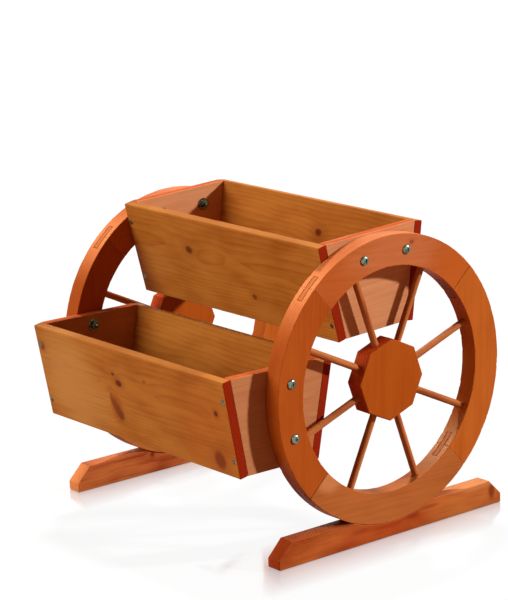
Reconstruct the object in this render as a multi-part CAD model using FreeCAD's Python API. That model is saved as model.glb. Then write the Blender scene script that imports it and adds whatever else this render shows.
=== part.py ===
import FreeCAD, Part

import math
import os

from FreeCAD import Vector as V

# Two-tier garden planter in the shape of a cart: two spoked wooden wheels stand on foot
# skids, and two open troughs are bolted between them, the lower one in front and the
# upper one behind it, above the hubs.
#
# Millimetres.  +X runs along the troughs to the right-hand wheel, -Y is the front, with
# the lower trough, and +Z is up.  The origin is under the middle of the whole stand, on
# the ground.  Everything is worked out about the wheel axis (y = 0) and moved at the end.

# ---- wheels -----------------------------------------------------------------------
WHEEL_DIA = 400.0        # across the rim
RIM_WIDTH = 43.5         # rim, measured along a spoke
RIM_T = 26.0             # thickness of the rim and the hub, along X
WHEEL_TURN = -3.0        # degrees that the wheels are rolled back on their seats
FELLOES = ["rear", "top", "front", "bottom"]   # quarter segments, from +Y towards +Z
TONGUE_T = 7.2           # loose tongue across each joint of the rim
TONGUE_LEN = 39.0
TONGUE_FIT = 0.1         # slot wider than the tongue
EDGE_BREAK = 1.0         # sanded corners of the sawn parts

HUB_FLATS = 105.4        # octagonal hub, across flats
SPOKES = 8
SPOKE_D = 10.0           # round dowel
SPOKE_IN_HUB = 16.0      # glued depth of each end
SPOKE_IN_RIM = 15.0
MORTISE_FIT = 0.1        # bore wider than the dowel
MORTISE_END = 1.0        # bore deeper than the dowel end

# ---- foot skids -------------------------------------------------------------------
SKID_LEN = 410.0
SKID_W = 24.0
SKID_H = 36.0
SKID_CHAMFER = 22.5      # cut off the upper corners at both ends
SEAT_DEPTH = 15.0        # how deep the wheel sits in its hollow
SEAT_GAP = 0.1

# ---- troughs ----------------------------------------------------------------------
TROUGH_LEN = 428.0       # also the distance between the wheels
BOARD_H = 138.0          # width of a long board
BOARD_T = 13.5
BOARD_LEAN = 10.9        # degrees outwards from upright
TROUGH_FOOT = 135.0      # across the lower outer corners of the long boards
END_T = 13.5
BOTTOM_T = 12.0
DRAIN_D = 12.0
DRAIN_PITCH = 120.0
DRAINS = 3
BOARD_BREAK = 0.7        # sanded corners of the boards

# Each trough hangs on two bolts per wheel.  bolt_angle: where the middle of the pair lies
# on the wheel, from +Y towards +Z; above and aside: the height and the place across of
# that middle in the trough; tilt: degrees that the front is lower.
TROUGHS = {
    "lower": dict(bolt_angle=182.65, above=84.0, aside=2.7, tilt=-0.5),
    "upper": dict(bolt_angle=92.4, above=111.0, aside=1.0, tilt=2.8),
}
BOLT_PITCH = 75.5        # between the two bolts of a pair

# ---- bolts ------------------------------------------------------------------------
BOLT_D = 6.0
BOLT_LEN = 50.0          # through the rim and the end board, with room for a nut
BOLT_HOLE_FIT = 0.5
HEAD_D = 13.5            # mushroom head
HEAD_H = 3.6

# ---- worked out -------------------------------------------------------------------
R_OUT = WHEEL_DIA / 2
R_IN = R_OUT - RIM_WIDTH
R_MID = (R_OUT + R_IN) / 2
WHEEL_Z = SKID_H - SEAT_DEPTH + R_OUT
HALF_LEN = TROUGH_LEN / 2
FACE_X = HALF_LEN + RIM_T            # outer face of a wheel
AXLE = V(0, 0, WHEEL_Z)
X_AXIS, Z_AXIS = V(1, 0, 0), V(0, 0, 1)

nodes = {}


def polar(radius, degrees, x=0.0):
    """A point at a radius and an angle about the wheel axis, from +Y towards +Z."""
    a = math.radians(degrees)
    return V(x, radius * math.cos(a), radius * math.sin(a))


def plate(outline, x0, x1):
    """A board with its outline in the YZ plane, from x0 to x1."""
    points = [V(x0, p.y, p.z) for p in outline]
    return Part.Face(Part.makePolygon(points + points[:1])).extrude(V(x1 - x0, 0, 0))


def sanded(shape, size):
    """The same solid with all its corners taken off by hand."""
    return shape.makeChamfer(size, shape.Edges)


def mirrored(shape):
    return shape.mirror(V(0, 0, 0), X_AXIS)


# ---- wheel ------------------------------------------------------------------------
def rim_arc(start, sweep):
    """A stretch of rim with sanded edges, about the wheel axis."""
    e = EDGE_BREAK
    section = [(R_IN, HALF_LEN + e), (R_IN + e, HALF_LEN), (R_OUT - e, HALF_LEN),
               (R_OUT, HALF_LEN + e), (R_OUT, FACE_X - e), (R_OUT - e, FACE_X),
               (R_IN + e, FACE_X), (R_IN, FACE_X - e)]
    points = [polar(r, start, x) for r, x in section]
    face = Part.Face(Part.makePolygon(points + points[:1]))
    arc = face.revolve(V(0, 0, 0), X_AXIS, sweep)
    arc.translate(AXLE)
    return arc


def tongue_block(angle, fit):
    """The flat tongue across the rim joint at an angle, long enough to be cut to the rim."""
    long, thick, deep = TONGUE_LEN + fit, TONGUE_T + fit, RIM_WIDTH + 20
    block = Part.makeBox(thick, deep, long,
                         V((HALF_LEN + FACE_X - thick) / 2, R_MID - deep / 2, -long / 2))
    block.rotate(V(0, 0, 0), X_AXIS, angle)
    block.translate(AXLE)
    return block


def along_spoke(angle, r0, r1, diameter):
    """A round bar or bore on a spoke's line, from radius r0 to r1."""
    start = polar(r0, angle, HALF_LEN + RIM_T / 2) + AXLE
    return Part.makeCylinder(diameter / 2, r1 - r0, start, polar(1, angle))


def spoke_angles():
    step = 360.0 / SPOKES
    return [WHEEL_TURN + (i + 0.5) * step for i in range(SPOKES)]


def hub_apothem():
    return HUB_FLATS / 2


def make_hub():
    """Octagonal block whose flats face the spokes."""
    corner = hub_apothem() / math.cos(math.pi / SPOKES)
    outline = [polar(corner, WHEEL_TURN + i * 360.0 / SPOKES) + AXLE for i in range(SPOKES)]
    hub = sanded(plate(outline, HALF_LEN, FACE_X), EDGE_BREAK)
    deep = SPOKE_IN_HUB + MORTISE_END
    for a in spoke_angles():
        hub = hub.cut(along_spoke(a, hub_apothem() - deep, hub_apothem() + 5,
                                  SPOKE_D + MORTISE_FIT))
    return hub


def make_felloe(index):
    """One quarter of the rim: slots for the tongues, bores for the spokes and bolts."""
    start = WHEEL_TURN + 90.0 * index - 45.0
    felloe = rim_arc(start, 90.0)
    for joint in (start, start + 90.0):
        felloe = felloe.cut(tongue_block(joint, TONGUE_FIT))
    for a in spoke_angles():
        felloe = felloe.cut(along_spoke(a, R_IN - 5, R_IN + SPOKE_IN_RIM + MORTISE_END,
                                        SPOKE_D + MORTISE_FIT))
    for bolts in bolt_points().values():
        for at in bolts:
            felloe = felloe.cut(bolt_hole(at))
    return felloe


def wheel_nodes():
    parts = {"hub": make_hub()}
    tongues = []
    for i, name in enumerate(FELLOES):
        parts["rim_" + name] = make_felloe(i)
        joint = WHEEL_TURN + 90.0 * i + 45.0
        tongues.append(tongue_block(joint, 0.0).common(rim_arc(joint - 30.0, 60.0)))
    parts["rim_tongues"] = Part.makeCompound(tongues)
    parts["spokes"] = Part.makeCompound([
        along_spoke(a, hub_apothem() - SPOKE_IN_HUB, R_IN + SPOKE_IN_RIM, SPOKE_D)
        for a in spoke_angles()])
    return parts


# ---- foot skid --------------------------------------------------------------------
def make_skid():
    """Bar with cut corners and a hollow seat for the wheel."""
    y, h, c = SKID_LEN / 2, SKID_H, SKID_CHAMFER
    outline = [V(0, -y, 0), V(0, y, 0), V(0, y, h - c), V(0, y - c, h),
               V(0, c - y, h), V(0, -y, h - c)]
    skid = sanded(plate(outline, FACE_X - SKID_W, FACE_X), EDGE_BREAK)
    wheel = Part.makeCylinder(R_OUT + SEAT_GAP, RIM_T + 20,
                              AXLE + V(HALF_LEN - 10, 0, 0), X_AXIS)
    return skid.cut(wheel)


# ---- bolts ------------------------------------------------------------------------
def make_bolt():
    """Mushroom-head bolt along -X: the underside of its head at x = 0."""
    r = BOLT_D / 2
    crown = [V(HEAD_H * height, HEAD_D / 2 * radius, 0)
             for height, radius in ((0.15, 1.0), (0.65, 0.72), (1.0, 0.25))]
    profile = [V(HEAD_H, 0, 0), V(-BOLT_LEN, 0, 0), V(-BOLT_LEN, r, 0), V(0, r, 0),
               V(0, HEAD_D / 2, 0)] + crown
    return Part.Face(Part.makePolygon(profile + profile[:1])).revolve(
        V(0, 0, 0), X_AXIS, 360)


def bolt_points():
    """The two bolts of each trough, on the middle circle of the rim, at the wheel face."""
    half = math.degrees(math.asin(BOLT_PITCH / 2 / R_MID))
    return {name: [polar(R_MID, t["bolt_angle"] + s * half, FACE_X) + AXLE for s in (-1, 1)]
            for name, t in TROUGHS.items()}


def bolt_hole(at):
    length = RIM_T + END_T
    return Part.makeCylinder((BOLT_D + BOLT_HOLE_FIT) / 2, length,
                             at - V(length, 0, 0), X_AXIS)


# ---- troughs ----------------------------------------------------------------------
class Trough:
    """One trough: its own plane has u across, to the back, and v up from its foot."""

    def __init__(self, name):
        t = TROUGHS[name]
        a, b = bolt_points()[name]
        self.name = name
        self.tilt = t["tilt"]
        self.bolts = (a, b)
        middle = (a + b) * 0.5
        self.foot = middle - self.turn(t["aside"], t["above"])
        lean = math.radians(BOARD_LEAN)
        self.up = (-math.sin(lean), math.cos(lean))      # along the front board, upwards
        self.inwards = (math.cos(lean), math.sin(lean))

    def turn(self, u, v):
        """A step in the trough's plane as a step in the stand."""
        a = math.radians(self.tilt)
        return V(0, u * math.cos(a) - v * math.sin(a), u * math.sin(a) + v * math.cos(a))

    def point(self, u, v, x=0.0):
        p = self.foot + self.turn(u, v)
        return V(x, p.y, p.z)

    def on_board(self, along, deep, side):
        """A point of a long board: up its width and in from its outer face."""
        u = -TROUGH_FOOT / 2 + along * self.up[0] + deep * self.inwards[0]
        v = along * self.up[1] + deep * self.inwards[1]
        return (-side * u, v)

    def inner_face(self, v, side):
        """Where the inner face of a long board is at a height."""
        u0, v0 = self.on_board(0, BOARD_T, side)
        return (u0 + side * (v - v0) * math.tan(math.radians(BOARD_LEAN)), v)

    def outline(self, pairs):
        return [self.point(u, v) for u, v in pairs]

    def long_board(self, side):
        corners = [self.on_board(0, 0, side), self.on_board(BOARD_H, 0, side),
                   self.on_board(BOARD_H, BOARD_T, side), self.on_board(0, BOARD_T, side)]
        return sanded(plate(self.outline(corners), -HALF_LEN, HALF_LEN), BOARD_BREAK)

    def end_board(self):
        """Trapezium that fills the end between the long boards, on the right."""
        low = self.on_board(0, BOARD_T, 1)[1]
        high = self.on_board(BOARD_H, BOARD_T, 1)[1]
        corners = [self.inner_face(low, -1), self.inner_face(high, -1),
                   self.inner_face(high, 1), self.inner_face(low, 1)]
        board = plate(self.outline(corners), HALF_LEN - END_T, HALF_LEN)
        for at in self.bolts:
            board = board.cut(bolt_hole(at))
        return board

    def bottom(self):
        """Board between the end boards, with bevelled long edges and drain holes."""
        low = self.on_board(0, BOARD_T, 1)[1]
        corners = [self.inner_face(low, -1), self.inner_face(low + BOTTOM_T, -1),
                   self.inner_face(low + BOTTOM_T, 1), self.inner_face(low, 1)]
        inner = HALF_LEN - END_T
        board = plate(self.outline(corners), -inner, inner)
        for i in range(DRAINS):
            x = (i - (DRAINS - 1) / 2) * DRAIN_PITCH
            board = board.cut(Part.makeCylinder(
                DRAIN_D / 2, BOTTOM_T + 20, self.point(0, low - 10, x), self.turn(0, 1)))
        return board

    def add_nodes(self):
        end = self.end_board()
        nodes[self.name + "_front_board"] = self.long_board(-1)
        nodes[self.name + "_back_board"] = self.long_board(1)
        nodes[self.name + "_end_right"] = end
        nodes[self.name + "_end_left"] = mirrored(end)
        nodes[self.name + "_bottom"] = self.bottom()


def both_sides(name, shape):
    nodes[name + "_right"] = shape
    nodes[name + "_left"] = mirrored(shape)


def placed(shape, at):
    copy = shape.copy()
    copy.translate(at)
    return copy


troughs = {name: Trough(name) for name in TROUGHS}
for trough in troughs.values():
    trough.add_nodes()

for name, shape in wheel_nodes().items():
    both_sides(name, shape)

both_sides("skid", make_skid())

bolt = make_bolt()
both_sides("bolts", Part.makeCompound(
    [placed(bolt, at) for pair in bolt_points().values() for at in pair]))

# The stand reaches from the top edge of the lower front board to the tail of the skids.
lower = troughs["lower"]
front = lower.point(*lower.on_board(BOARD_H, 0, -1)).y
rear = max(SKID_LEN / 2, R_OUT)
centre = V(0, -(front + rear) / 2, 0)

os.makedirs("parts", exist_ok=True)
for name, shape in nodes.items():
    shape.translate(centre)
    shape.exportStep("parts/%s.step" % name)
    for solid in shape.Solids:
        if not solid.isValid() or solid.Volume <= 0:
            raise ValueError("bad solid in " + name)
print(len(nodes), "nodes,", sum(len(s.Solids) for s in nodes.values()), "solids")
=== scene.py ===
import functools
import math

import bmesh
import bpy
from mathutils import Matrix, Vector, geometry, noise


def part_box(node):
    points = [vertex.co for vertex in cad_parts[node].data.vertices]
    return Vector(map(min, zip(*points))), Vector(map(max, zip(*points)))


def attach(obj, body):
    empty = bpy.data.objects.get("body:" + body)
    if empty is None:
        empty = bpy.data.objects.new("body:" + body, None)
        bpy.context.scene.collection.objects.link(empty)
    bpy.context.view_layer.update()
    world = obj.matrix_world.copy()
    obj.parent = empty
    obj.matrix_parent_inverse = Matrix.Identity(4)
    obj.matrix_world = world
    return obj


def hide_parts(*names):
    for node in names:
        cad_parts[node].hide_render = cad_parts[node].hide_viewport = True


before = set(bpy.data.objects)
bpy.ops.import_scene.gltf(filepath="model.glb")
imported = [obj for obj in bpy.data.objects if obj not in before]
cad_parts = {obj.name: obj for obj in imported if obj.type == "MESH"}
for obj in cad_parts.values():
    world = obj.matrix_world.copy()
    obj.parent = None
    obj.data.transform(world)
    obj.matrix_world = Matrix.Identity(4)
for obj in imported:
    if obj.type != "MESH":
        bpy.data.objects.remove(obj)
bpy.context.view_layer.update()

SIDES = {"right": 1, "left": -1}


# ---- Foot skids --------------------------------------------------------------------
# Two straight bars of planed softwood, 24 x 36 mm, their upper corners sawn off at both
# ends. The wheel sits in a shallow hollow sawn into the top edge. Stained red-brown.
SHORTEST_SIDE = 0.005           # metres; anything shorter belongs to a rounded corner
SAME_WAY, SOFT_TURN = 0.05, 0.3     # radians: still one side, and still no corner
STRIP = 0.0004      # a narrow flat beside each rounding, which keeps the wide faces flat
ROUND_STEPS = 3
SHARP = math.radians(24)


def sides_of(loop):
    """The sides of a closed outline, each as its two ends."""
    return list(zip(loop, loop[1:] + loop[:1]))


def in_line(side, other):
    """Whether two sides run the same way."""
    return abs((other[1] - other[0]).angle_signed(side[1] - side[0])) < SAME_WAY


def stretched(side):
    """A side drawn on past both of its ends, so that it crosses its neighbours."""
    a, b = side
    further = (b - a).normalized() * 0.05
    return a - further, b + further


def outline(node):
    """The corners of a sawn piece in the YZ plane, before its edges were sanded."""
    spots = [v.co.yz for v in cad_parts[node].data.vertices]
    hull = [spots[i] for i in geometry.convex_hull_2d(spots)]
    sides = []
    for a, b in sides_of(hull):
        if (b - a).length < SHORTEST_SIDE:
            continue
        if sides and in_line(sides[-1], (a, b)):
            sides[-1] = (sides[-1][0], b)
        else:
            sides.append((a, b))
    if in_line(sides[-1], sides[0]):
        sides[0] = (sides.pop()[0], sides[0][1])
    return [geometry.intersect_line_line_2d(*stretched(p), *stretched(q))
            for p, q in zip(sides[-1:] + sides[:-1], sides)]


def wheel_of(side):
    """A hub's corners, its axle and how far the wheel is rolled, in the YZ plane."""
    corners = outline("hub_" + side)
    axle = sum(corners, Vector((0, 0))) / len(corners)
    roll = min((math.atan2(*(c - axle).yx) for c in corners), key=abs)
    return corners, axle, roll


def turning(loop):
    """Each point of a closed outline, with its two unit directions."""
    for i, here in enumerate(loop):
        came, goes = here - loop[i - 1], loop[(i + 1) % len(loop)] - here
        yield here, came.normalized(), goes.normalized()


def eased(loop, radii):
    """The outline with its corners rounded by hand sanding, by a radius each."""
    found = []
    for radius, (here, came, goes) in zip(radii, turning(loop)):
        turn = came.angle_signed(goes, 0.0)
        if abs(turn) < SOFT_TURN:
            found.append(here)
            continue
        back = radius * math.tan(abs(turn) / 2)
        a, b = here - came * back, here + goes * back
        found.append(a - came * STRIP)
        for k in range(ROUND_STEPS + 1):
            t = k / ROUND_STEPS
            found.append((1 - t) ** 2 * a + 2 * t * (1 - t) * here + t * t * b)
        found.append(b + goes * STRIP)
    return found


def inset(loop, amount):
    """The outline moved in by the same amount all round."""
    area = sum(a.cross(b) for a, b in sides_of(loop))
    hand = 1 if area > 0 else -1
    found = []
    for here, came, goes in turning(loop):
        across = Vector((-(came + goes).y, (came + goes).x)).normalized() * hand
        square = max(0.5, abs(across.dot(Vector((-came.y, came.x)))))
        found.append(here + across * amount / square)
    return found


def parted(loop, longest):
    """The outline with more points along its long sides."""
    found = []
    for a, b in sides_of(loop):
        n = max(1, math.ceil((b - a).length / longest))
        found += [a.lerp(b, k / n) for k in range(n)]
    return found


def shaded(mesh):
    mesh.shade_smooth()
    mesh.set_sharp_from_angle(angle=SHARP)


def placed(name, mesh):
    piece = bpy.data.objects.new(name, mesh)
    bpy.context.collection.objects.link(piece)
    return piece


def loft(name, rings):
    """A closed body through rings of equal count, its two ends filled."""
    work = bmesh.new()
    loops = [[work.verts.new(p) for p in ring] for ring in rings]
    for a, b in zip(loops, loops[1:]):
        for i in range(len(a)):
            j = (i + 1) % len(a)
            work.faces.new((a[i], a[j], b[j], b[i]))
    work.faces.new(loops[0])
    work.faces.new(loops[-1])
    bmesh.ops.recalc_face_normals(work, faces=work.faces)
    mesh = bpy.data.meshes.new(name)
    work.to_mesh(mesh)
    work.free()
    shaded(mesh)
    return placed(name, mesh)


def sawn(name, corners, x0, x1, arris, step=0.010):
    """A piece cut to an outline in the YZ plane, from x0 to x1, with eased edges."""
    loop = parted(eased(corners, [arris + 2 * STRIP] * len(corners)), step)
    wide = x1 - x0
    edge = [(0.0, arris + STRIP)]
    edge += [(arris * (1 - math.cos(a)), arris * (1 - math.sin(a)))
             for a in (0.0, math.pi / 6, math.pi / 3, math.pi / 2)]
    n = max(1, round((wide - 2 * arris) / step))
    between = [(arris + (wide - 2 * arris) * k / n, 0.0) for k in range(1, n)]
    far_edge = [(wide - deep, back) for deep, back in reversed(edge)]
    return loft(name, [[(x0 + deep, p.x, p.y) for p in inset(loop, back)]
                       for deep, back in edge + between + far_edge])


def chipped(at, least):
    """How deep an arris is chipped there. Most of it stays under the least and is whole."""
    return max(0.0, noise.noise(at + Vector((7, 3, 1))) - least)


def worn(piece, depth, grain, chips):
    """Takes the arrises down unevenly, as sanding and handling do, with a few chips."""
    work = bmesh.new()
    work.from_mesh(piece.data)
    work.normal_update()
    moves = []
    for v in work.verts:
        if max(e.calc_face_angle(0.0) for e in v.link_edges) > SOFT_TURN:
            rub = 0.5 + 0.5 * noise.noise(v.co * grain)
            chip = chips * chipped(v.co * grain * 2.3, 0.32)
            moves.append((v, v.normal * (depth * rub + chip)))
    for v, move in moves:
        v.co -= move
    work.to_mesh(piece.data)
    work.free()


def arithmetic(kind, swapped=False):
    """An operator of Value as a Math node, swapped where the Value stands on the right."""
    def worked_out(*values):
        sockets = dict(enumerate(reversed(values) if swapped else values))
        return values[0].finish.node("Math", dict(operation=kind), sockets)
    return worked_out


class Value:
    """A node's output. Arithmetic on it adds Math nodes."""

    def __init__(self, finish, socket):
        self.finish = finish
        self.socket = socket

    __add__ = arithmetic("ADD")
    __radd__ = arithmetic("ADD", swapped=True)
    __sub__ = arithmetic("SUBTRACT")
    __rsub__ = arithmetic("SUBTRACT", swapped=True)
    __mul__ = arithmetic("MULTIPLY")
    __rmul__ = arithmetic("MULTIPLY", swapped=True)
    __truediv__ = arithmetic("DIVIDE")
    __rtruediv__ = arithmetic("DIVIDE", swapped=True)
    __pow__ = arithmetic("POWER")
    __abs__ = arithmetic("ABSOLUTE")
    larger = arithmetic("MAXIMUM")
    root = arithmetic("SQRT")
    fraction = arithmetic("FRACT")


class Finish:
    """The nodes of a material or of the world, added one by one."""

    def __init__(self, owner):
        owner.use_nodes = True
        self.owner = owner
        self.tree = owner.node_tree
        self.tree.nodes.clear()

    def add(self, kind, settings, sockets):
        """A new node. Each of its sockets takes a constant or another node's output."""
        added = self.tree.nodes.new("ShaderNode" + kind)
        for key, value in settings.items():
            setattr(added, key, value)
        for key, value in sockets.items():
            if isinstance(value, Value):
                self.tree.links.new(value.socket, added.inputs[key])
            else:
                added.inputs[key].default_value = value
        return added

    def node(self, kind, settings={}, sockets={}, out=0):
        """The output of a new node."""
        return Value(self, self.add(kind, settings, sockets).outputs[out])

    def end(self, shader, kind="OutputMaterial"):
        self.add(kind, {}, {"Surface": shader})
        return self.owner

    def mix(self, a, b, factor, **settings):
        return self.node("Mix", dict(data_type="RGBA", **settings),
                         {0: factor, 6: a, 7: b}, out=2)

    def step(self, value, low, high):
        """0 below low, 1 above high, smooth between."""
        return self.node("MapRange", dict(interpolation_type="SMOOTHSTEP"),
                         {"Value": value, "From Min": low, "From Max": high})

    def place(self):
        return self.node("TexCoord", out="Object")

    def facing(self, way):
        """1 where the surface looks along the way or back, 0 where it looks across it."""
        return abs(self.node("VectorMath", dict(operation="DOT_PRODUCT"),
                             {0: self.node("TexCoord", out="Normal"), 1: way}, out="Value"))

    def vector(self, x, y, z):
        return self.node("CombineXYZ", {}, {"X": x, "Y": y, "Z": z})

    def parts(self, vector):
        split = self.add("SeparateXYZ", {}, {0: vector})
        return [Value(self, socket) for socket in split.outputs]

    def noise(self, at, detail=2.0, rough=0.5):
        return self.node("TexNoise", {}, {"Vector": at, "Scale": 1.0, "Detail": detail,
                                          "Roughness": rough})

    def bump(self, height, strength, distance):
        return self.node("Bump", {}, {"Height": height, "Strength": strength,
                                      "Distance": distance})


def paint(red, green, blue):
    """A colour as the eye reads it (0 to 255), as the shader's linear colour."""
    def linear(c):
        c /= 255
        return c / 12.92 if c <= 0.04045 else ((c + 0.055) / 1.055) ** 2.4
    return (linear(red), linear(green), linear(blue), 1.0)


def oval(u, v, along, over, half_long, half_wide):
    """How far the surface is from the middle of an oval spot, 1 at the spot's edge."""
    return (((u - along) / half_long) ** 2.0 + ((v - over) / half_wide) ** 2.0).root()


RING_WANDER, KNOT_SWELL = 0.014, 0.004      # metres that the year rings stray
GRAIN_DEPTH = 0.00022
# from where to where a spot comes up, 1 being its edge, and how faint a knot's halo is
KNOT_EDGE, KNOT_HALO, PATCH_EDGE, HALO_SHARE = (1.25, 0.55), (3.2, 0.8), (1.25, 0.35), 0.28
# BURNT also colours the painted shadow that comes in with the knots
BURNT = (0.42, 0.26, 0.3)                   # a knot's core, as a share of the dark stain


def stained_wood(name, origin, run, across, light, dark, end, rings, pith, figure, painted_far_end=None,
                 blotch=0.5, fibre=0.4, knots_and_painted_shade=(), patches=(), all_round=None):
    """Stained softwood. run is the way of its grain and across the width of its face, both
    from origin; pith is the middle of the tree across and behind the face, and rings the
    gap between its year rings. knots_and_painted_shade are knots, and on one skid a painted
    shadow, each (along, across, half length, half width, darkness) in metres, and patches,
    spots where the stain took otherwise and, in some callers, painted light and painted
    shade, end in a share and a colour. Faces across the grain have the end colour, or with
    all_round every face that doesn't look that way; on the rims it is painted light and shade.
    painted_far_end is a second such painted colour and where along the run it starts."""
    finish = Finish(bpy.data.materials.new(name))
    run, across = Vector(run).normalized(), Vector(across).normalized()
    turn = Matrix((run, across, run.cross(across))).transposed().to_euler()
    u, v, w = finish.parts(finish.node(
        "Mapping", dict(vector_type="TEXTURE"),
        {"Vector": finish.place(), "Location": origin, "Rotation": turn}))

    def pattern(lengthwise, crosswise, detail=2.0, rough=0.5):
        """Noise drawn out along the grain, by its scales along and across it."""
        at = finish.vector(u * lengthwise, v * crosswise, w * crosswise)
        return finish.noise(at, detail, rough)

    wander = pattern(5, 16) - 0.5
    strands = pattern(22, 850, 3.0, 0.6)
    streaks = pattern(9, 170)
    clouds = pattern(11, 26, rough=0.55)
    specks = pattern(60, 420, 3.0, 0.7)

    # the year rings, which swell round a knot, and their hard late wood
    radius = ((v - pith[0]) ** 2.0 + (w - pith[1]) ** 2.0).root() + wander * RING_WANDER
    cores = []
    # knots, and also a painted shadow that a caller passes in among them
    for *spot, darkness in knots_and_painted_shade:
        out = oval(u, v, *spot)
        radius = radius + KNOT_SWELL / (out ** 2.0 * 0.35 + 1.0)
        halo = finish.step(out, *KNOT_HALO) * HALO_SHARE
        cores.append((finish.step(out + wander * 1.2, *KNOT_EDGE) + halo) * darkness)
    late = (radius / rings).fraction() ** 3.0

    # the long faces
    tone = (0.42 + (late - 0.35) * figure + (strands - 0.5) * fibre
            + (streaks - 0.5) * 0.5 + (clouds - 0.5) * blotch * 1.6)
    colour = finish.mix(light, dark, finish.step(tone, -0.25, 1.15))
    for *spot, share, tint in patches:
        ragged = oval(u, v, *spot) + wander + (streaks - 0.5) * 0.6
        colour = finish.mix(colour, tint, finish.step(ragged, *PATCH_EDGE) * share)
    if cores:
        burnt = (*(c * part for c, part in zip(dark, BURNT)), 1.0)
        colour = finish.mix(colour, burnt, functools.reduce(Value.larger, cores))

    # the faces across the grain
    facing = finish.facing(all_round or run)
    cut = finish.step(1.0 - facing if all_round else facing, 0.35, 0.85)
    # the far end colour: painted light and shade on the rims' treads
    if painted_far_end:
        further, start = painted_far_end
        end = finish.mix(end, further, finish.step(u, start - 0.02, start + 0.02))
    ring_tone = finish.mix((1.3, 1.3, 1.3, 1.0), (1.0, 1.0, 1.0, 1.0), finish.step(late, 0.0, 0.7))
    end = finish.mix(end, ring_tone, 1.0, blend_type="MULTIPLY", clamp_result=True)
    end = finish.mix(end, (0.5, 0.5, 0.5, 1.0), finish.step(specks, 0.52, 0.75),
                     blend_type="MULTIPLY")

    relief = strands * 0.7 + late * 0.25 + streaks * 0.4 + cut * specks * 1.5
    return finish.end(finish.node("BsdfPrincipled", {}, {
        "Base Color": finish.mix(colour, end, cut),
        "Roughness": 0.50 + (strands - 0.5) * 0.25 + cut * 0.18 - late * 0.06,
        "Normal": finish.bump(relief, 0.55, GRAIN_DEPTH), "Specular IOR Level": 0.04}))


SKID_LIGHT = {"right": paint(194, 103, 46), "left": paint(190, 106, 54)}
SKID_DARK = {"right": paint(136, 46, 11), "left": paint(130, 44, 12)}
SKID_ENDS = {"right": paint(138, 48, 12), "left": paint(202, 122, 68)}
SKID_FIGURE = {"right": 0.10, "left": 0.30}
SKID_KNOTS_AND_PAINTED_SHADOW = {
    # right: no knot but a painted shadow, a long dark stretch on the top face in front of the
    # seat, where the wheel's shadow falls
    "right": ((-0.160, 0.029, 0.040, 0.006, 0.8),),
    "left": ((0.043, 0.019, 0.003, 0.003, 0.6), (0.11, 0.004, 0.008, 0.004, 0.4))}
SKID_PATCHES_AND_PAINTED_LIGHT_AND_SHADE = {
    "right": ((0.060, 0.002, 0.085, 0.035, 0.32, paint(196, 124, 60)),
              # the red middle under the wheel and the thin dark streaks below the seat: partly
              # stain, partly painted shade from the wheel
              (-0.115, 0.004, 0.105, 0.024, 0.35, paint(168, 44, 8)),
              (-0.150, 0.011, 0.022, 0.0045, 0.35, paint(116, 32, 8)),
              (-0.090, 0.017, 0.026, 0.004, 0.6, paint(112, 32, 8)),
              (-0.052, 0.010, 0.016, 0.005, 0.5, paint(120, 36, 10)),
              (-0.020, 0.016, 0.020, 0.0035, 0.45, paint(120, 36, 10)),
              (0.099, 0.010, 0.0065, 0.013, 0.75, paint(112, 30, 8)),
              # painted highlight: a pale stretch along the top at the rear, where the light from
              # behind falls on it
              (0.078, 0.034, 0.080, 0.014, 0.48, paint(236, 164, 104))),
    "left": ()}
SKID_EASE, SEAT_PLAY, SEAT_STEPS = 0.0011, 0.0001, 24


def seat(axle, radius, height):
    """The hollow in the top edge of a skid: the arc of the wheel that dips under it."""
    half = math.sqrt(radius ** 2 - (axle.y - height) ** 2)
    first = math.atan2(height - axle.y, -half)
    last = math.atan2(height - axle.y, half)
    return [axle + Vector((math.cos(a), math.sin(a))) * radius
            for a in (first + (last - first) * k / SEAT_STEPS for k in range(SEAT_STEPS + 1))]


for side, hand in SIDES.items():
    low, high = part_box("skid_" + side)
    _, axle, _ = wheel_of(side)
    wheel_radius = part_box("rim_top_" + side)[1].z - axle.y
    hollow = seat(axle, wheel_radius + SEAT_PLAY, high.z)
    loop = []
    for a, b in sides_of(outline("skid_" + side)):
        loop.append(a)
        on_top = min(a.y, b.y) > high.z - 0.001
        if on_top and abs(a.x - b.x) > 0.1:
            loop += hollow if b.x > a.x else hollow[::-1]
    skid = sawn("skid_bar_" + side, loop, low.x, high.x, SKID_EASE, 0.012)
    worn(skid, 0.0004, 90.0, 0.0012)
    skid.data.materials.append(stained_wood(
        "red_brown_skid_" + side, (0.04 * hand, 0.02 + 0.1 * hand, 0.01), (0, 1, 0), (0, 0, 1),
        SKID_LIGHT[side], SKID_DARK[side], SKID_ENDS[side], rings=0.0034, pith=(0.034, -0.060),
        figure=SKID_FIGURE[side], blotch=1.2, fibre=0.9, knots_and_painted_shade=SKID_KNOTS_AND_PAINTED_SHADOW[side],
        patches=SKID_PATCHES_AND_PAINTED_LIGHT_AND_SHADE[side]))
    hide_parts("skid_" + side)
    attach(skid, "root")


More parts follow.
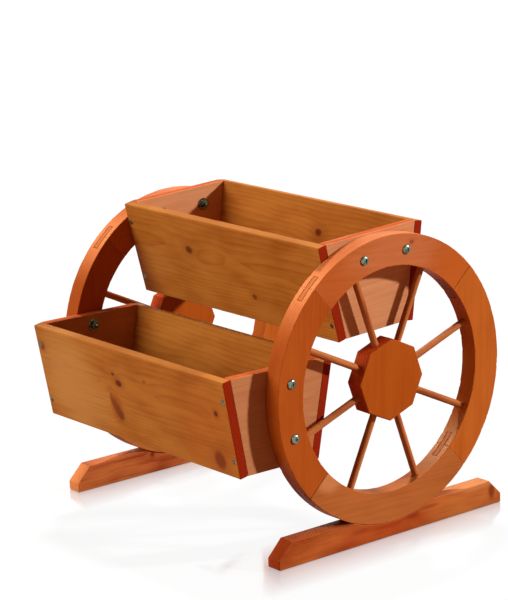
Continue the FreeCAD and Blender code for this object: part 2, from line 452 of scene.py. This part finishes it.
# ---- Hubs --------------------------------------------------------------------------
# An octagonal block in the middle of each wheel, sawn from one board with the grain
# upright. Its flats take the spokes, and drink more stain than its two faces.
HUB_EASE = 0.0010
HUB_LIGHT, HUB_DARK, HUB_END = paint(178, 87, 22), paint(154, 66, 8), paint(158, 56, 18)
for side, hand in SIDES.items():
    low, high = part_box("hub_" + side)
    corners, axle, roll = wheel_of(side)
    hub = sawn("hub_block_" + side, corners, low.x, high.x, HUB_EASE)
    worn(hub, 0.0003, 90.0, 0.0008)
    hub.data.materials.append(stained_wood(
        "hub_wood_" + side, (low.x, axle.x + 0.01, axle.y + 0.2 * hand),
        (0, -math.sin(roll), math.cos(roll)), (0, math.cos(roll), math.sin(roll)),
        HUB_LIGHT, HUB_DARK, HUB_END, rings=0.0052, pith=(0.006, -0.11), figure=0.13,
        blotch=0.4, fibre=0.25, all_round=(1, 0, 0)))
    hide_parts("hub_" + side)
    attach(hub, "root")


# ---- Spokes ------------------------------------------------------------------------
# Eight turned dowels per wheel, 10 mm thick, glued into the flats of the hub and into
# the inside of the rim.
def baked(piece):
    """The mesh of a piece with its modifiers worked out."""
    bpy.context.view_layer.update()
    seen = piece.evaluated_get(bpy.context.evaluated_depsgraph_get())
    return bpy.data.meshes.new_from_object(seen)


def set_out(name, model, spots, finish, spin=0.0):
    """One piece made of copies of a model, its Z axis turned to each spot's direction."""
    points = bpy.data.meshes.new(name + "_spots")
    points.from_pydata([place for place, _ in spots], [], [])
    facing = points.attributes.new("facing", "FLOAT_VECTOR", "POINT")
    for item, (_, way) in zip(facing.data, spots):
        item.vector = way
    base = placed(name + "_spots", points)
    layout = base.modifiers.new("set_out", "NODES")
    layout.node_group = bpy.data.node_groups.get("set_out") or set_out_tree()
    given = {"Model": model, "Finish": finish, "Spin": spin}
    for item in layout.node_group.interface.items_tree:
        if item.name in given:
            layout[item.identifier] = given[item.name]
    mesh = baked(base)
    mesh.name = name
    bpy.data.objects.remove(base)
    bpy.data.objects.remove(model)
    return placed(name, mesh)


def set_out_tree():
    """A copy of the model at each point, turned its way, spun by chance and numbered."""
    tree = bpy.data.node_groups.new("set_out", "GeometryNodeTree")
    for name, kind in (("Spots", "Geometry"), ("Model", "Object"), ("Finish", "Material"),
                       ("Spin", "Float")):
        tree.interface.new_socket(name, in_out="INPUT", socket_type="NodeSocket" + kind)
    tree.interface.new_socket("Pieces", in_out="OUTPUT", socket_type="NodeSocketGeometry")

    def add(kind, settings={}, sockets={}):
        node = tree.nodes.new(kind)
        for key, value in settings.items():
            setattr(node, key, value)
        for key, value in sockets.items():
            if isinstance(value, bpy.types.NodeSocket):
                tree.links.new(value, node.inputs[key])
            else:
                node.inputs[key].default_value = value
        return node.outputs

    given = add("NodeGroupInput")
    model = add("GeometryNodeObjectInfo", {}, {"Object": given["Model"]})
    way = add("GeometryNodeInputNamedAttribute", dict(data_type="FLOAT_VECTOR"),
              {"Name": "facing"})
    aim = add("FunctionNodeAlignRotationToVector", dict(axis="Z"), {"Vector": way[0]})
    least = add("ShaderNodeMath", dict(operation="MULTIPLY"), {0: given["Spin"], 1: -1.0})
    chance = add("FunctionNodeRandomValue", dict(data_type="FLOAT"),
                 {2: least[0], 3: given["Spin"], "Seed": 1})
    about = add("ShaderNodeCombineXYZ", {}, {"Z": chance[1]})
    turned_way = add("FunctionNodeRotateRotation", dict(rotation_space="LOCAL"),
                     {"Rotation": aim[0], "Rotate By": about[0]})
    copies = add("GeometryNodeInstanceOnPoints", {},
                 {"Points": given["Spots"], "Instance": model["Geometry"],
                  "Rotation": turned_way[0]})
    number = add("GeometryNodeInputIndex")
    tagged = add("GeometryNodeStoreNamedAttribute", dict(data_type="FLOAT", domain="INSTANCE"),
                 {"Geometry": copies[0], "Name": "copy", "Value": number[0]})
    real = add("GeometryNodeRealizeInstances", {}, {0: tagged[0]})
    coated = add("GeometryNodeSetMaterial", {}, {"Geometry": real[0],
                                                 "Material": given["Finish"]})
    add("NodeGroupOutput", {}, {0: coated[0]})
    return tree


def turned(name, profile, sides):
    """A body turned about Z from a profile of (height, radius), closed at its ends."""
    angles = [2 * math.pi * k / sides for k in range(sides)]
    return loft(name, [[(r * math.cos(a), r * math.sin(a), z) for a in angles]
                       for z, r in profile])


def dowel_finish(name):
    """Stained dowel, its strands along the copy's own Z axis, each copy a little different."""
    finish = Finish(bpy.data.materials.new(name))
    x, y, z = finish.parts(finish.node("Attribute", dict(attribute_name="strand"), out="Vector"))
    other = finish.node("Attribute", dict(attribute_name="copy"), out="Fac") * 3.7
    strands = finish.noise(finish.vector(x * 700 + other, y * 700, z * 14), 3.0, 0.6)
    clouds = finish.noise(finish.vector(x * 90 + other, y * 90, z * 16 + other))
    tone = finish.step(strands * 0.8 + clouds * 0.8, 0.45, 1.15)
    return finish.end(finish.node("BsdfPrincipled", {}, {
        "Base Color": finish.mix(paint(198, 120, 62), paint(136, 60, 18), tone),
        "Roughness": 0.42 + strands * 0.16, "Normal": finish.bump(strands, 0.4, 0.0002),
        "Specular IOR Level": 0.08}))


TIP, TIP_SHARE, DOWEL_STATIONS = 0.001, 0.8, 14


def dowel(start, reach, radius):
    """A dowel along Z, its tips tapered and its girth a little uneven."""
    profile = [(start, radius * TIP_SHARE), (start + TIP, radius)]
    for k in range(1, DOWEL_STATIONS):
        height = start + TIP + (reach - start - 2 * TIP) * k / DOWEL_STATIONS
        profile.append((height, radius * (0.985 + 0.012 * math.sin(k * 2.4))))
    blank = turned("dowel", profile + [(reach - TIP, radius), (reach, radius * TIP_SHARE)], 28)
    strand = blank.data.attributes.new("strand", "FLOAT_VECTOR", "POINT")
    for item, v in zip(strand.data, blank.data.vertices):
        item.vector = v.co
    return blank


dowel_wood = dowel_finish("dowel_wood")
for side in SIDES:
    low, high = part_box("spokes_" + side)
    corners, axle, _ = wheel_of(side)
    lengths = [(v.co.yz - axle).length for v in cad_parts["spokes_" + side].data.vertices]
    hub_low, hub_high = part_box("hub_" + side)
    middle = (hub_low.x + hub_high.x) / 2
    ways = [((a + b) / 2 - axle).normalized() for a, b in sides_of(corners)]
    spokes = set_out("spoke_dowels_" + side,
                     dowel(min(lengths), max(lengths), (high.x - low.x) / 2),
                     [((middle, *axle), (0, *way)) for way in ways], dowel_wood, math.pi)
    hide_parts("spokes_" + side)
    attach(spokes, "root")


# ---- Rims --------------------------------------------------------------------------
# Four felloes per wheel, sawn to the arc from a straight board, so that the grain runs
# straight through each: level in the top and bottom ones, upright in the others. They are
# butted on the diagonals, and a loose tongue crosses each joint through the whole rim.
RIM_EASE, JOINT_EASE, JOINT_GAP, RIM_STATIONS = 0.0011, 0.0004, 0.00025, 96
TONGUE_LONG, TONGUE_GAP = 0.039, 0.0010
RIM_MIDDLE = 0.18       # from the axle; across a felloe's grain, places are from here
FELLOES = {"rear": 0, "top": 1, "front": 2, "bottom": 3}
RIM_COLOURS = {"rear": (paint(194, 104, 38), paint(164, 77, 18)),
               "top": (paint(197, 112, 58), paint(158, 68, 20)),
               "front": (paint(181, 88, 28), paint(152, 65, 12)),
               "bottom": (paint(190, 109, 56), paint(156, 82, 30))}
# painted light and shade on the treads, one colour for the near and one for the far end of each
# felloe: pale at the lower rear, where the inner tread is lit, dark at the upper rear and the
# lower front, where the treads are in shade, and a middle tone at the upper front
RIM_TREAD_PAINTED_LIGHT_AND_SHADE = {"rear": (paint(250, 176, 124), paint(150, 62, 22)),
            "top": (paint(150, 62, 22), paint(226, 138, 84)),
            "front": (paint(226, 138, 84), paint(96, 32, 8)),
            "bottom": (paint(96, 32, 8), paint(250, 176, 124))}
RIM_KNOTS = {"top": ((-0.03, 0.006, 0.004, 0.003, 0.45),)}
RIM_PATCHES = {"top": ((0.0, 0.0, 0.075, 0.045, 0.35, paint(206, 128, 86)),
                       (-0.130, -0.045, 0.060, 0.060, 0.8, paint(186, 90, 28)),
                       (0.130, -0.045, 0.060, 0.060, 0.6, paint(176, 82, 28))),
               "bottom": ((-0.108, -0.060, 0.022, 0.020, 0.7, paint(208, 136, 86)),)}


def felloe(name, axle, inner, outer, x0, x1, middle):
    """A quarter of the rim, its arrises eased, its two ends sawn square to the arc."""
    section = [Vector((inner, x0)), Vector((outer, x0)), Vector((outer, x1)), Vector((inner, x1))]
    half, nick = math.pi / 4 - JOINT_GAP / outer, JOINT_EASE / outer
    places = [(-half, JOINT_EASE), (-half + nick, 0.0)]
    places += [(-half + 2 * half * k / RIM_STATIONS, 0.0) for k in range(1, RIM_STATIONS)]
    places += [(half - nick, 0.0), (half, JOINT_EASE)]
    rings = []
    for angle, back in places:
        way = Vector((math.cos(middle + angle), math.sin(middle + angle)))

        def spot(p):
            return Vector((p.y, *(axle + way * p.x)))

        ring = inset(parted(eased(section, [rub(spot(p)) for p in section]), 0.030), back)
        rings.append([spot(p) for p in ring])
    return loft(name, rings)


def rub(at):
    """How far an arris of the rim is rubbed down there, or chipped."""
    return RIM_EASE * (0.9 + 0.5 * noise.noise(at * 90)) + 0.0045 * chipped(at * 260, 0.3)


def cut_out(piece, *tools):
    """Saws the tools' shapes out of the piece, and throws the tools away."""
    for tool in tools:
        cut = piece.modifiers.new("cut", "BOOLEAN")
        cut.operation = "DIFFERENCE"
        cut.solver = "MANIFOLD"
        cut.object = tool
    mesh = baked(piece)
    piece.modifiers.clear()
    mesh.name = piece.data.name
    piece.data = mesh
    mesh.materials.clear()
    shaded(mesh)
    for tool in tools:
        bpy.data.objects.remove(tool)


def tongue_slot(axle, joint, inner, outer, x0, x1):
    """The slot of a tongue through the rim, as a solid that sticks out on both sides."""
    out = Vector((math.cos(joint), math.sin(joint)))
    over = Vector((-out.y, out.x)) * (TONGUE_LONG / 2 + TONGUE_GAP)
    near, far = axle + out * (inner - 0.02), axle + out * (outer + 0.02)
    return sawn("slot", [near - over, far - over, far + over, near + over],
                x0 - TONGUE_GAP, x1 + TONGUE_GAP, 0.0001, 1.0)


for side, hand in SIDES.items():
    _, axle, roll = wheel_of(side)
    low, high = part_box("rim_top_" + side)
    outer = high.z - axle.y
    inner = min((v.co.yz - axle).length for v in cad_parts["rim_rear_" + side].data.vertices)
    middle = (low.x + high.x) / 2
    tongue_low, tongue_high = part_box("rim_tongues_" + side)
    tongue_half = (tongue_high.x - tongue_low.x) / 2
    for name, quarter in FELLOES.items():
        centre = roll + quarter * math.pi / 2
        piece = felloe("felloe_%s_%s" % (name, side), axle, inner, outer, low.x, high.x, centre)
        cut_out(piece, *(tongue_slot(axle, joint, inner, outer, middle - tongue_half,
                                     middle + tongue_half)
                         for joint in (centre - math.pi / 4, centre + math.pi / 4)))
        run = Vector((0, -math.sin(centre), math.cos(centre)))
        out = Vector((0, math.cos(centre), math.sin(centre)))
        # each felloe is sawn from another stretch of the board
        shift = 0.5 + quarter * 0.37 + hand * 0.11
        # the felloe's two end colours, painted light and shade on its treads
        near_tread_painted_light_and_shade, further = RIM_TREAD_PAINTED_LIGHT_AND_SHADE[name]
        piece.data.materials.append(stained_wood(
            "rim_wood_%s_%s" % (name, side),
            Vector((middle, *axle)) + out * RIM_MIDDLE + run * shift, run, out,
            *RIM_COLOURS[name], near_tread_painted_light_and_shade, painted_far_end=(further, -shift), rings=0.0046,
            pith=(-0.03 + quarter * 0.017, -0.07), figure=0.2, blotch=0.55, fibre=0.35,
            knots_and_painted_shade=[(along - shift, *rest) for along, *rest in RIM_KNOTS.get(name, ())],
            patches=[(along - shift, *rest) for along, *rest in RIM_PATCHES.get(name, ())]))
        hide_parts("rim_%s_%s" % (name, side))
        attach(piece, "root")


# ---- Tongues -----------------------------------------------------------------------
# Flat slips of the same softwood that lock the felloes together. They are planed flush
# with the inside and the outside of the rim and show as a small oblong there. Their colour
# is painted shade, as the slips at the upper rear and the lower front lie in shade, with
# painted light on the slip at the lower rear and, fainter, on the one at the upper front.
# painted shade: the slips' own colour, darkened for the slips that lie in shade
TONGUE_PAINTED_SHADE_PALE, TONGUE_PAINTED_SHADE_DEEP = paint(136, 58, 22), paint(106, 40, 14)
# painted light on the lit slips, at the lower rear and, fainter, at the upper front
TONGUE_PAINTED_LIGHT = ((0.0, 0.178, 1.0, 0.10, 0.9, paint(226, 140, 88)),
                  (0.0, -0.178, 1.0, 0.10, 0.9, paint(204, 116, 66)))


def recoloured(node, finish):
    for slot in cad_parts[node].material_slots:
        slot.material = finish


for side in SIDES:
    low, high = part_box("rim_tongues_" + side)
    recoloured("rim_tongues_" + side, stained_wood(
        "tongue_wood_" + side, (low + high) / 2, (1, 0, 0), (0, 1, -1),
        TONGUE_PAINTED_SHADE_PALE, TONGUE_PAINTED_SHADE_DEEP, TONGUE_PAINTED_SHADE_PALE, rings=0.0021, pith=(0.4, -0.2), figure=0.4,
        patches=TONGUE_PAINTED_LIGHT))


# ---- Troughs -----------------------------------------------------------------------
# Each is a box of planed boards 13.5 mm thick: two trapezium ends, a front and a back
# board that lean outwards and lap over the ends, and a bottom with drain holes.
BOARD_EASE, PANEL_EASE = 0.0008, 0.0004
BOARD_LIGHT, BOARD_DARK, BOARD_END = paint(180, 113, 44), paint(147, 78, 20), paint(130, 30, 3)
BOARD_PITH = {"front": -0.05, "back": -0.08}
BOARD_PATCHES_AND_PAINTED_SHADOW = {"lower_front": ((-0.145, -0.070, 0.080, 0.075, 0.6, paint(196, 140, 74)),
                                 (-0.042, -0.092, 0.013, 0.022, 0.5, paint(150, 56, 14)),
                                 (0.178, -0.119, 0.013, 0.015, 0.5, paint(146, 50, 12)),
                                 (0.187, -0.049, 0.008, 0.008, 0.4, paint(150, 56, 14)),
                                 (-0.031, -0.046, 0.012, 0.012, 0.3, paint(160, 70, 20)),
                                 # painted shadow: a reddish patch right of the middle, the shadow
                                 # of leaves that are not modelled
                                 (0.17, -0.08, 0.08, 0.08, 0.25, paint(172, 80, 24)))}
BOARD_KNOTS = {
    "lower_front": ((-0.037, -0.039, 0.004, 0.0026, 0.75), (-0.027, -0.051, 0.007, 0.005, 0.85),
                    (-0.051, -0.080, 0.0035, 0.009, 0.45), (-0.046, -0.087, 0.005, 0.009, 0.5),
                    (-0.041, -0.094, 0.006, 0.009, 0.55), (-0.036, -0.101, 0.007, 0.008, 0.6),
                    (0.035, -0.036, 0.003, 0.002, 0.6), (0.187, -0.049, 0.004, 0.004, 0.8),
                    (0.178, -0.119, 0.011, 0.013, 0.55), (-0.203, -0.030, 0.006, 0.006, 0.6)),
    "lower_back": ((0.11, -0.06, 0.008, 0.006, 0.8), (-0.15, -0.1, 0.005, 0.004, 0.7)),
    "upper_front": ((-0.08, -0.05, 0.008, 0.006, 0.7), (0.05, -0.1, 0.005, 0.004, 0.6)),
    "upper_back": ((0.02, -0.045, 0.009, 0.007, 0.8), (-0.13, -0.09, 0.006, 0.005, 0.7),
                   (0.17, -0.08, 0.004, 0.004, 0.7))}
END_COLOURS = {"lower": (paint(194, 134, 90), paint(164, 97, 56)),
               "upper": (paint(212, 151, 106), paint(181, 111, 69))}
END_EDGE = paint(166, 70, 24)
BOTTOM_LIGHT, BOTTOM_DARK = paint(176, 96, 36), paint(128, 54, 14)
BOTTOM_KNOTS = ((0.12, 0.05, 0.008, 0.006, 0.8), (0.31, 0.09, 0.006, 0.005, 0.7))
SCREW_HEAD = 0.0035
SCREW_FROM_TOP, SCREW_FROM_FOOT = 0.028, 0.024


def outer_face(corners, outward):
    """The foot, the top and the way out of the face that looks away from the trough."""
    longest = sorted(sides_of(corners), key=lambda s: -(s[1] - s[0]).length)[:2]
    foot, top = sorted(max(longest, key=lambda s: outward * (s[0] + s[1]).x),
                       key=lambda p: p.y)
    up = (top - foot).normalized()
    return foot, top, Vector((up.y, -up.x)) * outward


def sink(place, way):
    """The countersunk hole of a screw, as a solid."""
    hole = turned("sink", [(-0.006, 0.0019), (-0.0022, 0.0020),
                           (-0.0002, SCREW_HEAD + 0.0002), (0.002, SCREW_HEAD + 0.0009)], 24)
    aim = Vector(way).to_track_quat("Z", "Y").to_matrix().to_4x4()
    hole.matrix_world = Matrix.Translation(place) @ aim
    return hole


screw_spots = []
for tier in ("lower", "upper"):
    end_low, end_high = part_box(tier + "_end_right")
    row = (end_low.x + end_high.x) / 2
    for face, outward in (("front", -1), ("back", 1)):
        node = "%s_%s_board" % (tier, face)
        low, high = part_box(node)
        corners = outline(node)
        foot, top, out = outer_face(corners, outward)
        up = (top - foot).normalized()
        board = sawn("board_" + tier + "_" + face, corners, low.x, high.x, BOARD_EASE)
        worn(board, 0.0003, 70.0, 0.0012)
        spots = [((x, *at), (0, *out)) for x in (-row, row)
                 for at in (top - up * SCREW_FROM_TOP, foot + up * SCREW_FROM_FOOT)]
        screw_spots += spots
        cut_out(board, *(sink(*spot) for spot in spots))
        board.data.materials.append(stained_wood(
            "board_wood_%s_%s" % (tier, face), (0, *top), (1, 0, 0), (0, *up),
            BOARD_LIGHT, BOARD_DARK, BOARD_END, rings=0.0040,
            pith=(BOARD_PITH[face], -0.055 * outward), figure=0.36, blotch=1.0,
            knots_and_painted_shade=BOARD_KNOTS[tier + "_" + face],
            patches=BOARD_PATCHES_AND_PAINTED_SHADOW.get(tier + "_" + face, ())))
        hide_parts(node)
        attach(board, "root")

    for side, hand in SIDES.items():
        node = "%s_end_%s" % (tier, side)
        low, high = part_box(node)
        corners = outline(node)
        panel = sawn("end_" + tier + "_" + side, corners, low.x, high.x, PANEL_EASE)
        worn(panel, 0.0002, 70.0, 0.0006)
        lip = sorted(corners, key=lambda p: p.y)[-2:]
        level = (max(lip, key=lambda p: p.x) - min(lip, key=lambda p: p.x)).normalized()
        panel.data.materials.append(stained_wood(
            "end_wood_%s_%s" % (tier, side), (low.x, lip[0].x, lip[0].y + 0.3 * hand),
            (0, *level), (0, -level.y, level.x), *END_COLOURS[tier], END_EDGE,
            rings=0.0030, pith=(-0.35, -0.10), figure=0.13, blotch=0.3, fibre=0.5,
            all_round=(1, 0, 0)))
        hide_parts(node)
        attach(panel, "root")

    recoloured(tier + "_bottom", stained_wood(
        "bottom_wood_" + tier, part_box(tier + "_bottom")[0], (1, 0, 0), (0, 1, 0),
        BOTTOM_LIGHT, BOTTOM_DARK, BOARD_END, rings=0.0036, pith=(0.07, -0.05), figure=0.45,
        knots_and_painted_shade=BOTTOM_KNOTS))


# ---- Trough screws -----------------------------------------------------------------
# Countersunk wood screws with a cross recess, two at each end of each long board, driven
# into the edges of the end boards and set flush.
def zinc(name, tint, dull):
    """Zinc-plated steel with dark patches; dull is its roughness at the smoothest."""
    finish = Finish(bpy.data.materials.new(name))
    at = finish.place()

    def mottle(scale, detail, rough):
        return finish.noise(finish.node("Mapping", {}, {"Vector": at, "Scale": (scale,) * 3}),
                            detail, rough)

    fine = mottle(900, 3.0, 0.6)
    deep = (*(c * 0.3 for c in tint[:3]), 1.0)
    return finish.end(finish.node("BsdfPrincipled", {}, {
        "Base Color": finish.mix(tint, deep, finish.step(mottle(240, 2.0, 0.5), 0.38, 0.66)),
        "Metallic": 1.0, "Roughness": dull + fine * 0.2,
        "Normal": finish.bump(fine, 0.2, 0.0001)}))


def cross_recess(model, width, length, depth, top):
    """Cuts a driver's cross into the head of a model that faces +Z."""
    w, l = width / 2, length / 2
    oblong = ((-l, -w), (l, -w), (l, w), (-l, w))
    tools = []
    for turn in (0.0, math.pi / 2):
        spun = Matrix.Rotation(turn, 3, "Z")
        tools.append(loft("bar", [[spun @ Vector((x * k, y * k, z)) for x, y in oblong]
                                  for z, k in ((top - depth, 0.55), (top + 0.001, 1.0))]))
    cut_out(model, *tools)


SCREW_CROSS = (0.0011, 0.0042, 0.0016)      # its width, length and depth
screw = turned("screw", [(-0.012, 0.0003), (-0.010, 0.0016), (-0.0034, 0.0017),
                         (-0.0031, 0.0018), (-0.0006, SCREW_HEAD), (-0.0002, SCREW_HEAD),
                         (-0.00005, SCREW_HEAD - 0.0004)], 24)
cross_recess(screw, *SCREW_CROSS, -0.00005)
screws = set_out("trough_screws", screw, screw_spots,
                 zinc("dull_zinc", paint(128, 124, 104), 0.42), math.pi)
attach(screws, "root")


# ---- Bolts -------------------------------------------------------------------------
# Mushroom-head bolts, bright zinc with a cross recess, two through each wheel into each
# trough, with a broad washer and a nut on the inside of the end board.
BOLT_RIM, CROWN_STEPS = 0.0005, 10
SHANK_RADIUS, SHANK_TIP = 0.003, 0.0022
BOLT_CROSS = (0.0017, 0.0072, 0.0022)
SAME_HEAD, OTHER_HEAD = 0.025, 0.02         # metres between points of one bolt, or of two
WASHER_PROFILE = ((0.0, 0.0032), (0.0, 0.0088), (0.0003, 0.0090), (0.0013, 0.0090),
                  (0.0016, 0.0088), (0.0016, 0.0032))
NUT_HALF_WIDTH = 0.0050
NUT_RINGS = ((0.0017, 0.93), (0.0021, 1.0), (0.0062, 1.0), (0.0066, 0.93))


def bolt_axes(node):
    """Where the bolts of one wheel stand, in the YZ plane."""
    spots = [v.co.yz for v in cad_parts[node].data.vertices]
    seeds = []
    for spot in spots:
        if all((spot - seed).length >= OTHER_HEAD for seed in seeds):
            seeds.append(spot)
    axes = []
    for seed in seeds:
        near = [spot for spot in spots if (spot - seed).length < SAME_HEAD]
        ys, zs = [p.x for p in near], [p.y for p in near]
        axes.append(((min(ys) + max(ys)) / 2, (min(zs) + max(zs)) / 2))
    return axes


def bolt(radius, high, shank):
    """A bolt along Z, its shank below 0 and its domed head above."""
    crown = [(-shank, SHANK_TIP), (-shank + 0.0008, SHANK_RADIUS), (-0.0001, SHANK_RADIUS),
             (0.0, radius * 0.96), (0.0002, radius)]
    for k in range(CROWN_STEPS):
        a = math.pi / 2 * k / CROWN_STEPS
        crown.append((BOLT_RIM + (high - BOLT_RIM) * math.sin(a), radius * math.cos(a)))
    model = turned("bolt", crown + [(high, 0.0006)], 40)
    cross_recess(model, *BOLT_CROSS, high)
    return model


def nut():
    """A hexagon nut along Z, its two faces a little eased."""
    corner = NUT_HALF_WIDTH / math.cos(math.pi / 6)
    angles = [math.pi / 3 * k for k in range(6)]
    return loft("nut", [[(corner * k * math.cos(a), corner * k * math.sin(a), z)
                         for a in angles] for z, k in NUT_RINGS])


bolt_zinc = zinc("bright_zinc", paint(131, 139, 120), 0.15)
for side, hand in SIDES.items():
    low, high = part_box("bolts_" + side)
    outermost, innermost = (high.x, low.x) if hand > 0 else (low.x, high.x)
    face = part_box("hub_" + side)[0 if hand < 0 else 1].x
    axes = bolt_axes("bolts_" + side)
    model = bolt(high.z - max(z for _, z in axes), abs(outermost - face), abs(innermost - face))
    bolts = set_out("mushroom_bolts_" + side, model,
                    [((face, y, z), (hand, 0, 0)) for y, z in axes], bolt_zinc, math.pi)
    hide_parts("bolts_" + side)
    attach(bolts, "root")

    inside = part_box("lower_end_" + side)[0 if hand > 0 else 1].x
    inner_spots = [((inside, y, z), (-hand, 0, 0)) for y, z in axes]
    washers = set_out("washers_" + side, turned("washer", WASHER_PROFILE, 40), inner_spots,
                      bolt_zinc)
    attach(washers, "root")
    nuts = set_out("nuts_" + side, nut(), inner_spots, bolt_zinc, math.pi)
    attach(nuts, "root")


# ---- Studio ------------------------------------------------------------------------
# A white floor that keeps a soft shadow, with a polish beside the skids. A low key lamp
# from the right and behind, a higher one from behind on the left, a broad fill from the
# front on the left, and a warm bounce from the floor and the air.
FLOOR_REACH, FLOOR_DROP = 40.0, 0.0001
POLISH, POLISH_REACH = 0.52, 0.072      # its share at the skids, and where it has faded out
BOUNCE = (0.28, 0.14, 0.08, 1.0)
SOFT_LIGHT, SOFT_STRENGTH = (1.0, 0.52, 0.32, 1.0), 0.13
WHITE = (1.0, 1.0, 1.0, 1.0)


def studio_white():
    """White to the camera but for shadow and polish, and a warm bounce to the wood."""
    ground = Finish(bpy.data.materials.new("studio_white"))
    matt = ground.node("BsdfDiffuse", {}, {"Color": (0.8, 0.8, 0.8, 1.0)})
    mirror = ground.node("BsdfGlossy", {}, {"Color": (1.0, 0.975, 0.95, 1.0),
                                            "Roughness": 0.08})
    white = ground.node("Emission", {}, {"Color": WHITE, "Strength": 1.0})
    bounce = ground.node("BsdfDiffuse", {}, {"Color": BOUNCE})

    low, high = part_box("skid_right")
    middle, half = (low + high) / 2, (high - low) / 2
    x, y, _ = ground.parts(ground.place())
    beside = abs(abs(x) - middle.x) - half.x
    beyond = abs(y - middle.y) - half.y
    polish = ground.node("MapRange", {}, {
        "Value": beside.larger(beyond), "From Min": 0.0, "From Max": POLISH_REACH,
        "To Min": POLISH, "To Max": 0.0})

    def blend(factor, first, second):
        return ground.node("MixShader", {}, {0: factor, 1: first, 2: second})

    shown = blend(polish, blend(0.90, matt, white), mirror)
    lit = blend(ground.node("LightPath", out="Is Camera Ray"), bounce, shown)
    return ground.end(blend(ground.node("LightPath", out="Is Glossy Ray"), lit, white))


floor_mesh = bpy.data.meshes.new("studio_floor")
floor_mesh.from_pydata([(FLOOR_REACH * x, FLOOR_REACH * y, -FLOOR_DROP)
                        for x, y in ((-1, -1), (1, -1), (1, 1), (-1, 1))], [], [(0, 1, 2, 3)])
floor_mesh.materials.append(studio_white())
placed("studio_floor", floor_mesh)

world = bpy.data.worlds.new("studio")
bpy.context.scene.world = world
sky = Finish(world)
bright = sky.node("Background", {}, {"Color": WHITE, "Strength": 1.0})
soft = sky.node("Background", {}, {"Color": SOFT_LIGHT, "Strength": SOFT_STRENGTH})
in_view = sky.node("LightPath", out="Is Camera Ray")
either = in_view.larger(sky.node("LightPath", out="Is Glossy Ray"))
sky.end(sky.node("MixShader", {}, {0: either, 1: soft, 2: bright}), "OutputWorld")


def lamp(name, azimuth, height, strength, spread):
    """A soft lamp far away. azimuth is from +X towards +Y; all angles are in degrees."""
    light = bpy.data.lights.new(name, "SUN")
    light.energy = strength
    light.angle = math.radians(spread)
    a, e = math.radians(azimuth), math.radians(height)
    way = Vector((math.cos(a) * math.cos(e), math.sin(a) * math.cos(e), math.sin(e)))
    holder = placed(name, light)
    holder.rotation_euler = way.to_track_quat("Z", "Y").to_euler()
    holder.location = way * 3


lamp("key", 50, 24, 4.0, 4)
lamp("top", 145, 60, 3.0, 7)
lamp("fill", -108, 26, 2.75, 36)

# the camera stands to the right of the front, a little above the troughs
CAMERA_PLACE = Vector((2.56485, -2.08124, 1.11185))
AHEAD = Vector((-0.75504, 0.61032, -0.23964))
LEVEL = Vector((0.63394, 0.77283, -0.02912))
UPWARD = Vector((-0.16743, 0.17391, 0.97042))
SENSOR, FOCAL_PIXELS, PICTURE_PIXELS = 36.0, 2419.2, 600
camera = placed("camera", bpy.data.cameras.new("camera"))
facing = Matrix((LEVEL, UPWARD, -AHEAD)).transposed().to_4x4()
camera.matrix_world = Matrix.Translation(CAMERA_PLACE) @ facing
camera.data.sensor_fit = "VERTICAL"
camera.data.sensor_height = SENSOR
camera.data.lens = SENSOR * FOCAL_PIXELS / PICTURE_PIXELS
camera.data.clip_end = 200.0
bpy.context.scene.camera = camera
bpy.context.scene.view_settings.view_transform = "Standard"
